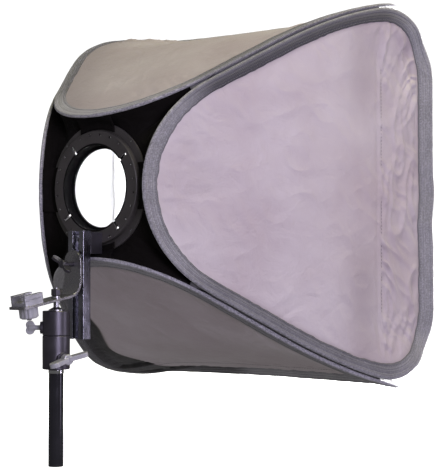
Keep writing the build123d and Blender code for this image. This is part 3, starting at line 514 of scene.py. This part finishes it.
def strip_zone(depth):
    """1 where the diffuser's strips are sewn behind the cloth, 0 elsewhere."""
    past = depth - DIFFUSER_DEPTH
    return smooth(past, -0.012, -0.005) * smooth(past, STRIP_WIDTH + 0.008, STRIP_WIDTH + 0.002)


def painted_fold_shade(side, height, depth, across, edge, along, seed):
    """Painted shade for each point, from 0 to 1: darker cloth at the bottom of folds, along the tape's
    inner edge and in the bottom panel's deep fold.
    """
    inner = np.maximum(edge - tape_width(depth), 0)
    # painted shade in the creases, and a thin painted shadow along the tape's inner edge
    shade_amount = smooth(-height, -0.0002, 0.0030) * 0.34 * smooth(inner, 0.0, 0.004)
    shade_amount = np.maximum(shade_amount, 0.55 * np.exp(-inner / 0.0022) * smooth(depth, 0.05, 0.12))
    # painted shade over the far part of the top panel
    if side == "top":
        far = smooth(across, -0.02, 0.07)
        shade_amount = np.maximum(shade_amount, 0.40 * far * np.exp(-((inner / 0.040) ** 2)))
    # painted shade in a band across the near panel, stronger toward its ends
    if side == "left":
        band_ends = smooth(-across, 0.02, 0.12) + 0.8 * smooth(across, 0.06, 0.15)
        shade_amount = np.maximum(shade_amount, 0.34 * band_ends * np.exp(-(((depth - 0.255) / 0.030) ** 2)))
    if side != "bottom":
        return shade_amount
    # painted shade: a dark line above the front tape, and near-black cloth in the deep fold
    ragged = inner + 0.003 * noise(along * 30, 0.5, seed + 12)
    shade_amount = np.maximum(shade_amount, 0.95 * np.exp(-inner / 0.0045) * smooth(depth, 0.28, 0.36))
    return np.maximum(shade_amount, tuck(depth, across, ragged))


def panel_grid(count, step, start_inset, parallel=0.040):
    """Rings of points from just under the binding to the middle of a panel."""
    points, normal, along = hoop_curve(count)
    insets = np.arange(start_inset, parallel + step / 2, step)
    rings = [points + normal * i for i in insets]
    edge = [np.full(count, i) for i in insets]
    middle = np.array([(FRONT_DEPTH + APEX_DEPTH) / 2 + 0.03, 0.0])
    last = rings[-1]
    reach = np.linalg.norm(last - middle, axis=1)
    steps = int(reach.mean() / step)
    for k in range(1, steps):
        share = 1 - k / steps
        rings.append(middle + (last - middle) * share)
        edge.append(parallel + reach * (1 - share))
    flat = np.vstack(rings + [middle[None]])
    edge = np.r_[np.concatenate(edge), reach.mean() + parallel]
    along = np.r_[np.tile(along, len(rings)), 0.0]
    faces = grid_faces(len(rings), count, closed=True)
    tip = len(flat) - 1
    outer = (len(rings) - 1) * count
    faces += [(outer + c, outer + (c + 1) % count, tip) for c in range(count)]
    return flat, edge, along, faces


def developed(depth):
    """Distance along a panel's slope from its apex, for an even weave."""
    table = np.linspace(APEX_DEPTH - 0.01, FRONT_DEPTH + 0.01, 400)
    run = np.r_[0, np.cumsum(np.diff(table) / np.cos(panel_slope((table[1:] + table[:-1]) / 2)))]
    return np.interp(depth, table, run)


PANEL_POINTS, PANEL_STEP, CLOTH_START = 520, 0.0033, 0.0112
SHELL_LIFT, LINING_LIFT, CLOTH_THICK = 0.0005, -0.0006, 0.0006


def panel_cloth(side, name, finish, lift, seed):
    flat, edge, along, faces = panel_grid(PANEL_POINTS, PANEL_STEP, CLOTH_START)
    depth, across = flat.T
    height = relief(side, depth, across, edge, along, seed)
    level = 0.0 if name == "lining" else np.maximum(height, -0.0002)
    ends = smooth(np.abs(across), STRIP_HALF + 0.030, STRIP_HALF + 0.018)
    height = height + strip_zone(depth) * (level - height) * ends
    folds = painted_fold_shade(side, height, depth, across, edge, along, seed)
    verts = place(side, depth, across, lift + height)
    piece = make(f"{side}_{name}_cloth", verts, faces, "softbox", finish.material,
                 np.c_[across, developed(depth)], (f"{side}_{name}",), thick=CLOTH_THICK,
                 folds=folds)
    return piece


TAPE_POINTS, STITCH_POINTS, SPRING_POINTS = 560, 760, 360
STITCH_INSET = 0.0151
# half of the tape's section: distance in from the outer edge, and height; it dips at the line of stitches
TAPE_SECTION = [(0.0182, 0.00105), (0.0174, 0.00165), (0.0160, 0.00150), (STITCH_INSET, 0.00112),
                (0.0142, 0.00155), (0.0120, 0.0019), (0.0095, 0.0021), (0.0072, 0.0018), (0.0064, 0.0017),
                (0.0056, 0.0022), (0.0040, 0.0027), (0.0022, 0.0024), (0.0007, 0.0014), (0.0, 0.0)]


def binding(side, seed):
    """Tape folded over the hoop: a full outer edge, flat flanks and a slightly wavy inner edge."""
    count = TAPE_POINTS
    points, normal, along = hoop_curve(count)
    wave = 0.0007 * noise(along * 60, 0.3, seed) + 0.0005 * noise(along * 170, 0.8, seed + 1)
    puff = 1 + 0.10 * noise(along * 75, 0.2, seed + 2)
    section = TAPE_SECTION + [(i, -h) for i, h in TAPE_SECTION[-2::-1]]
    rings = []
    for inset, height in section:
        give = wave * smooth(inset, 0.010, 0.018)
        place_at = points + normal * (inset * tape_width(points[:, 0]) / BINDING + give)[:, None]
        rings.append(place(side, place_at[:, 0], place_at[:, 1], height * puff))
    verts = np.stack(rings, axis=1).reshape(-1, 3)
    across = np.cumsum([0] + [np.hypot(b[0] - a[0], b[1] - a[1]) for a, b in zip(section, section[1:])])
    uvs = np.stack([np.repeat(along[:, None], len(section), 1),
                    np.repeat(across[None], count, 0)], axis=2).reshape(-1, 2)
    # painted shade on the tape: along the mitres, stronger higher up, and near black beside the bottom
    # panel's deep fold
    pulled = smooth(points[:, 0], 0.02, 0.07) * smooth(points[:, 0], 0.37, 0.28)
    painted_tape_shade = np.repeat(pulled, len(section)) * (0.50 + 0.50 * smooth(verts[:, 2], 0.28, 0.42))
    if side == "bottom":
        tape_tuck_shade = smooth(-points[:, 1], 0.02, 0.10) * smooth(points[:, 0], 0.03, 0.08)
        painted_tape_shade = np.maximum(painted_tape_shade, TUCK_SHADE * np.repeat(tape_tuck_shade, len(section)))
    return make(f"{side}_tape", verts, tube_faces(count, len(section)), "softbox", TAPE.material, uvs,
                (f"{side}_binding",), folds=painted_tape_shade)


def stitch(start, end, out, radius, lift):
    """One short thread that rises out of the cloth and goes back in."""
    run = (end - start) / np.linalg.norm(end - start)
    side = np.cross(run, out)
    turn = np.linspace(0, 2 * pi, 6, endpoint=False)
    verts = []
    path = ((0, -0.4, 0.5), (0.2, 0.55, 1), (0.5, 0.9, 1), (0.8, 0.55, 1), (1, -0.4, 0.5))
    for share, rise, size in path:
        middle = start + (end - start) * share + out * (rise * lift)
        verts += [middle + radius * size * (side * cos(t) + out * sin(t)) for t in turn]
    faces = grid_faces(5, 6, closed=True)
    faces += [tuple(range(5, -1, -1)), tuple(range(24, 30))]
    return verts, faces


def tape_stitches(side):
    count = STITCH_POINTS
    points, normal, _ = hoop_curve(count)
    at = points + normal * (STITCH_INSET * tape_width(points[:, 0]) / BINDING)[:, None]
    rows = []
    for face in (1, -1):
        low = place(side, at[:, 0], at[:, 1], face * 0.00125)
        high = place(side, at[:, 0], at[:, 1], face * 0.00225)
        for k in range(0, count, 2):
            out = (high[k] - low[k]) / np.linalg.norm(high[k] - low[k])
            end = low[k] + (low[(k + 1) % count] - low[k]) * 1.35
            rows.append(stitch(low[k], end, out, 0.00028, 0.0003))
    verts, faces = bag(rows)
    return make(f"{side}_tape_stitches", verts, faces, "softbox", THREAD.material, None, ())


def seam_stitches(side):
    """Line of stitches across a panel where the diffuser's strips are sewn on."""
    rows = []
    across = np.arange(-0.205, 0.205, 0.0045)
    for v in across:
        ends = place(side, [SEAM_DEPTH + 0.003] * 2, [v, v + 0.003], 0.0012)
        high = place(side, SEAM_DEPTH + 0.003, v, 0.0032)
        out = (high - ends[0]) / np.linalg.norm(high - ends[0])
        rows.append(stitch(ends[0], ends[1], out, 0.00025, 0.0004))
    verts, faces = bag(rows)
    return make(f"{side}_seam_stitches", verts, faces, "softbox", THREAD.material, None, ())


def spring(side):
    count = SPRING_POINTS
    points, normal, _ = hoop_curve(count)
    rings = []
    for inset, height in ((0.0038, 0.0006), (0.0044, 0.0007), (0.0086, 0.0007), (0.0092, 0.0006),
                          (0.0092, -0.0006), (0.0086, -0.0007), (0.0044, -0.0007), (0.0038, -0.0006)):
        at = points + normal * inset
        rings.append(place(side, at[:, 0], at[:, 1], height))
    verts = np.stack(rings, axis=1).reshape(-1, 3)
    return make(f"{side}_spring", verts, tube_faces(count, 8), "softbox", SPRING.material, None,
                (f"{side}_hoop",))


for number, side in enumerate(SIDES):
    seed = 11 + 40 * number
    binding(side, seed)
    spring(side)
    panel_cloth(side, "shell", SHELL, SHELL_LIFT, seed)
    panel_cloth(side, "lining", LINING, LINING_LIFT, seed)
    tape_stitches(side)
    seam_stitches(side)

# ------------------------------------------------------------------ rear cloth and tabs
CLAMP_DEPTH, CLAMP_INNER, CLAMP_OUTER = 0.0100, 0.0745, 0.0835
CLAMP_SHARE = 0.12                # of the rows, the part inside the clamp
TAB_HALF = 0.029
# a tab's path from the ring to the apex of the hoop: distance from the axis, and depth
TAB_ROUTE = ((0.0740, 0.0058), (0.0780, 0.0056), (0.0822, 0.0052), (0.0845, 0.0020), (0.0862, -0.0020),
             (0.0880, -0.0052), (0.0900, -0.0068))


def rear_cloth():
    """Black cloth clamped in the ring and stretched out to the rear arcs of the four hoops."""
    turns, rows = 96, 26
    verts, uvs = [], []
    curve, _, _ = hoop_curve(4000)
    rear = curve[(curve[:, 1] >= 0) & (curve[:, 0] < 0.070)]
    rear = rear[np.argsort(rear[:, 1])]
    angle = np.degrees(np.arctan2(rear[:, 1], panel_radius(rear[:, 0])))
    share = np.linspace(0, 1, rows)
    for side in SIDES:
        out, tangent = np.array(OUT[side], float), np.array(ALONG[side], float)
        for k in range(turns):
            phi = -45 + 90 * k / turns
            depth = np.interp(min(abs(phi), angle.max()), angle, rear[:, 0])
            across = np.interp(min(abs(phi), angle.max()), angle, rear[:, 1]) * np.sign(phi)
            rim = place(side, depth + 0.0026, across, -0.0018)
            t = radians(phi)
            ring_way = out * cos(t) + tangent * sin(t)
            inner = RING + FORWARD * CLAMP_DEPTH + ring_way * CLAMP_INNER
            clamp = RING + FORWARD * CLAMP_DEPTH + ring_way * CLAMP_OUTER
            away = np.abs(phi) / 45
            line = inner + (clamp - inner) * np.clip(share / CLAMP_SHARE, 0, 1)[:, None]
            out_share = np.clip((share - CLAMP_SHARE) / (1 - CLAMP_SHARE), 0, 1)
            line = line + (rim - clamp) * out_share[:, None]
            belly = np.sin(pi * out_share) * (0.004 * away**2)
            fold = 0.0016 * (ridged(phi * 0.42 + 3 * SIDES.index(side), out_share * 1.5, 301) - 0.4)
            crease = 0.0014 * noise(phi * 0.25, out_share * 7, 77)
            lift = belly + (fold + crease) * np.sin(pi * out_share) ** 0.7 * away
            line = line + FORWARD * lift[:, None]
            verts.append(line)
            uvs.append(np.c_[np.full(rows, radians(phi + 90 * SIDES.index(side)) * 0.1), share * 0.08])
    verts = np.vstack(verts)
    faces = []
    total = 4 * turns
    for c in range(total):
        n = (c + 1) % total
        for r in range(rows - 1):
            faces.append((c * rows + r, c * rows + r + 1, n * rows + r + 1, n * rows + r))
    piece = make("rear_cloth", verts, faces, "softbox", BLACK.material, np.vstack(uvs),
                 ("rear_panel", "gusset_top_left", "gusset_top_right", "gusset_bottom_right",
                  "gusset_bottom_left"), thick=0.0010)
    return piece


def ring_tab(side):
    """Cloth tab from the apex of a hoop, over the flange."""
    rows, columns = 30, 34
    out, tangent = np.array(OUT[side], float), np.array(ALONG[side], float)
    verts, uvs = [], []
    route = np.array(TAB_ROUTE)
    length = np.r_[0, np.cumsum(np.hypot(*np.diff(route, axis=0).T))]
    at = np.linspace(0, length[-1], rows)
    for k in range(columns):
        v = TAB_HALF * (2 * k / (columns - 1) - 1)
        reach, depth = np.interp(at, length, route[:, 0]), np.interp(at, length, route[:, 1])
        apex = smooth(at, length[-1] * 0.35, length[-1])
        hoop_depth = REAR_ARC - sqrt(REAR_ARC**2 - v**2)
        depth = depth + hoop_depth * apex
        reach = reach + hoop_depth * tan(SLOPE) * apex - (v**2 / 0.16) * (1 - apex)
        ripple = 0.0005 * noise(v * 130, at * 90, 500 + SIDES.index(side))
        depth = depth - ripple - 0.0004 * np.exp(-((at - 0.0020) / 0.0012) ** 2)
        verts.append(RING + out * reach[:, None] + tangent * v + FORWARD * depth[:, None])
        uvs.append(np.c_[np.full(rows, v), at])
    piece = make(f"{side}_ring_tab", np.vstack(verts), grid_faces(columns, rows), "softbox",
                 BLACK.material, np.vstack(uvs), ("ring_tabs",), thick=0.0011)
    return piece


MITRE_POINTS = 90


def mitre_seam(side, name, finish, low, high, inset, height, hollow):
    """Narrow cloth that joins two neighbouring hoops along the corner between them."""
    after = SIDES[(SIDES.index(side) + 1) % 4]
    depth = np.linspace(low, high, MITRE_POINTS)
    reach = panel_radius(depth) - MITRE_GAP - inset
    first, last = place(side, depth, reach, height), place(after, depth, -reach, height)
    inward = RING + FORWARD * depth[:, None] - first
    middle = (first + last) / 2 + hollow * inward / reach[:, None]
    verts = np.stack([first, middle, last], axis=1).reshape(-1, 3)
    return make(f"{side}_{after}_{name}", verts, grid_faces(MITRE_POINTS, 3), "softbox", finish.material,
                None, (), thick=0.0009)


rear_cloth()
for side in SIDES:
    ring_tab(side)
    mitre_seam(side, "seam", TAPE,
               low=0.046, high=0.288, inset=0.0035, height=-0.0016, hollow=0.0012)
    mitre_seam(side, "facing", LINING,
               low=0.056, high=0.284, inset=0.0200, height=-0.0032, hollow=0.0)


# ------------------------------------------------------------------ diffuser and its strips
DIFFUSER_CORNER, DIFFUSER_POINTS = 0.045, 400
DIFFUSER_BACK = 0.0016            # the cloth lies this far behind the rear edge of its strips


def diffuser():
    """White cloth, square with round corners, with a stitched hem, bowed a little by its own weight."""
    half, corner, count = float(panel_radius(DIFFUSER_DEPTH)) - 0.0001, DIFFUSER_CORNER, DIFFUSER_POINTS
    straight = half - corner
    loop = []
    for quarter in range(4):
        t = np.linspace(0, pi / 2, 30)
        arc = np.c_[straight + corner * np.cos(t), straight + corner * np.sin(t)]
        c, s = round(cos(quarter * pi / 2)), round(sin(quarter * pi / 2))
        loop.append(arc @ np.array([[c, s], [-s, c]]))
    loop = np.vstack(loop + [loop[0][:1]])
    length = np.r_[0, np.cumsum(np.hypot(*np.diff(loop, axis=0).T))]
    at = np.linspace(0, length[-1], count, endpoint=False)
    rim = np.c_[np.interp(at, length, loop[:, 0]), np.interp(at, length, loop[:, 1])]
    shares = np.r_[1, 0.985, 0.97, 0.955, 0.94, np.linspace(0.92, 0.03, 42)]
    flat = np.vstack([rim * s for s in shares] + [[0, 0]])
    edge = half - np.maximum(np.abs(flat[:, 0]), np.abs(flat[:, 1]))
    way = np.r_[np.tile(at, len(shares)), 0]
    pucker = 0.0016 * (ridged(way * 40, edge * 4, 900) - 0.4) * np.exp(-edge / 0.05) * smooth(edge, 0, 0.01)
    slack = 0.003 * noise(flat[:, 0] * 7, flat[:, 1] * 7, 901) * smooth(edge, 0, 0.08)
    hem = 0.0007 * smooth(edge, 0.014, 0.011)
    depth = DIFFUSER_DEPTH - DIFFUSER_BACK + pucker + slack + hem + 0.004 * smooth(edge, 0.0, 0.2)
    verts = RING + np.c_[flat[:, 0], -depth, flat[:, 1]]
    faces = grid_faces(len(shares), count, closed=True)
    tip, outer = len(flat) - 1, (len(shares) - 1) * count
    faces += [(outer + c, outer + (c + 1) % count, tip) for c in range(count)]
    piece = make("front_cloth", settle(verts), faces, "diffuser", DIFFUSER.material, flat,
                 ("front_diffuser",), thick=0.0008)
    return piece


STRIP_POINTS = 120


def strip(side, name, low, high, body, finish, nodes):
    """One strip of hook-and-loop tape along the inside of a panel."""
    across = np.linspace(-STRIP_HALF, STRIP_HALF, STRIP_POINTS)
    section = ((DIFFUSER_DEPTH, high), (DIFFUSER_DEPTH + STRIP_WIDTH, high),
               (DIFFUSER_DEPTH + STRIP_WIDTH, low), (DIFFUSER_DEPTH, low))
    wave = 0.0003 * noise(across * 40, 0.5, 60 + SIDES.index(side))
    verts = np.stack([place(side, d, across, h + wave) for d, h in section], axis=1).reshape(-1, 3)
    faces = []
    for k in range(len(across) - 1):
        for c in range(4):
            n = (c + 1) % 4
            faces.append((k * 4 + c, k * 4 + n, k * 4 + 4 + n, k * 4 + 4 + c))
    last = (len(across) - 1) * 4
    faces += [(3, 2, 1, 0), tuple(range(last, last + 4))]
    return make(f"{side}_{name}", verts, faces, body, finish.material, None, nodes,
                flat=True)


for side in SIDES:
    strip(side, "loop_strip", -0.0024, -0.0012, "softbox", HOOK, ("loop_strips",))
    strip(side, "hook_strip", -0.0037, -0.0026, "diffuser", HOOK, ("hook_strips",))
diffuser()

# light passes through the diffuser and its strips
for look in (DIFFUSER, HOOK):
    glow = look.node("ShaderNodeBsdfTranslucent", {"Color": (0.95, 0.95, 0.96, 1)})
    both = look.node("ShaderNodeMixShader", {0: 0.5, 1: look.shader.outputs[0], 2: glow.outputs[0]})
    look.links.new(both.outputs[0], look.nodes["Material Output"].inputs["Surface"])

# ------------------------------------------------------------------ floor, light, camera
floor_mesh = bpy.data.meshes.new("floor")
floor_mesh.from_pydata([(-30, -30, 0), (30, -30, 0), (30, 30, 0), (-30, 30, 0)], [], [(0, 1, 2, 3)])
floor = bpy.data.objects.new("floor", floor_mesh)
bpy.context.scene.collection.objects.link(floor)
pale = Look("floor", (0.8, 0.8, 0.8), 0.9)
pale.set("Emission Color", (1, 1, 1, 1))
pale.set("Emission Strength", 0.9)
floor.visible_diffuse = False
floor.visible_glossy = False
floor_mesh.materials.append(pale.material)

world = bpy.data.worlds.new("studio")
bpy.context.scene.world = world
world.use_nodes = True
tree = world.node_tree
back = tree.nodes["Background"]
aim = tree.nodes.new("ShaderNodeTexCoord")
split = tree.nodes.new("ShaderNodeSeparateXYZ")
rise = tree.nodes.new("ShaderNodeMapRange")
tone = tree.nodes.new("ShaderNodeMix")
tone.data_type = "RGBA"
tone.inputs[6].default_value = (1.12, 1.09, 1.09, 1)
tone.inputs[7].default_value = (1, 1, 1, 1)
rise.inputs["From Min"].default_value, rise.inputs["From Max"].default_value = -0.35, 0.45
tree.links.new(aim.outputs["Generated"], split.inputs[0])
tree.links.new(split.outputs["Z"], rise.inputs["Value"])
tree.links.new(rise.outputs[0], tone.inputs[0])
tree.links.new(tone.outputs[2], back.inputs[0])
path = tree.nodes.new("ShaderNodeLightPath")
dim = tree.nodes.new("ShaderNodeMapRange")
dim.inputs["To Min"].default_value, dim.inputs["To Max"].default_value = 0.32, 0.10
tree.links.new(path.outputs["Is Glossy Ray"], dim.inputs["Value"])
tree.links.new(dim.outputs[0], back.inputs[1])
white = tree.nodes.new("ShaderNodeBackground")
white.inputs[0].default_value = (1, 1, 1, 1)
white.inputs[1].default_value = 1.1
blend = tree.nodes.new("ShaderNodeMixShader")
tree.links.new(path.outputs["Is Camera Ray"], blend.inputs[0])
tree.links.new(back.outputs[0], blend.inputs[1])
tree.links.new(white.outputs[0], blend.inputs[2])
tree.links.new(blend.outputs[0], tree.nodes["World Output"].inputs["Surface"])


def softlight(name, place_at, aim, size, power, color=(1, 1, 1)):
    lamp = bpy.data.lights.new(name, "AREA")
    lamp.shape, lamp.size, lamp.size_y = "RECTANGLE", size[0], size[1]
    lamp.energy, lamp.color = power, color
    piece = bpy.data.objects.new(name, lamp)
    bpy.context.scene.collection.objects.link(piece)
    piece.location = place_at
    piece.rotation_euler = (Vector(aim) - Vector(place_at)).to_track_quat("-Z", "Y").to_euler()
    piece.visible_camera = False


COOL, COOLER, WARM = (1.08, 1.0, 1.25), (1.08, 1.0, 1.30), (1.0, 0.97, 0.50)
softlight("key", (-1.9, 0.85, 0.70), (-0.2, -0.2, 0.35), (0.8, 0.9), 25.5, COOLER)
softlight("top", (-0.6, -0.4, 1.9), (0, -0.2, 0.5), (0.9, 0.9), 19, WARM)
softlight("side", (-1.75, -1.15, 0.42), (0, -0.1, 0.32), (0.25, 1.2), 5, COOL)
softlight("front", (0.1, -1.7, 0.42), (0, -0.3, 0.34), (0.8, 0.8), 60)

camera_data = bpy.data.cameras.new("camera")
camera_data.lens = 99.4
camera = bpy.data.objects.new("camera", camera_data)
bpy.context.scene.collection.objects.link(camera)
camera.location = (-1.149, 1.118, 0.2412)
camera.rotation_euler = Vector((0.625, -0.780, 0.0250)).to_track_quat("-Z", "Y").to_euler()
bpy.context.scene.camera = camera
bpy.context.scene.view_settings.view_transform = "Standard"
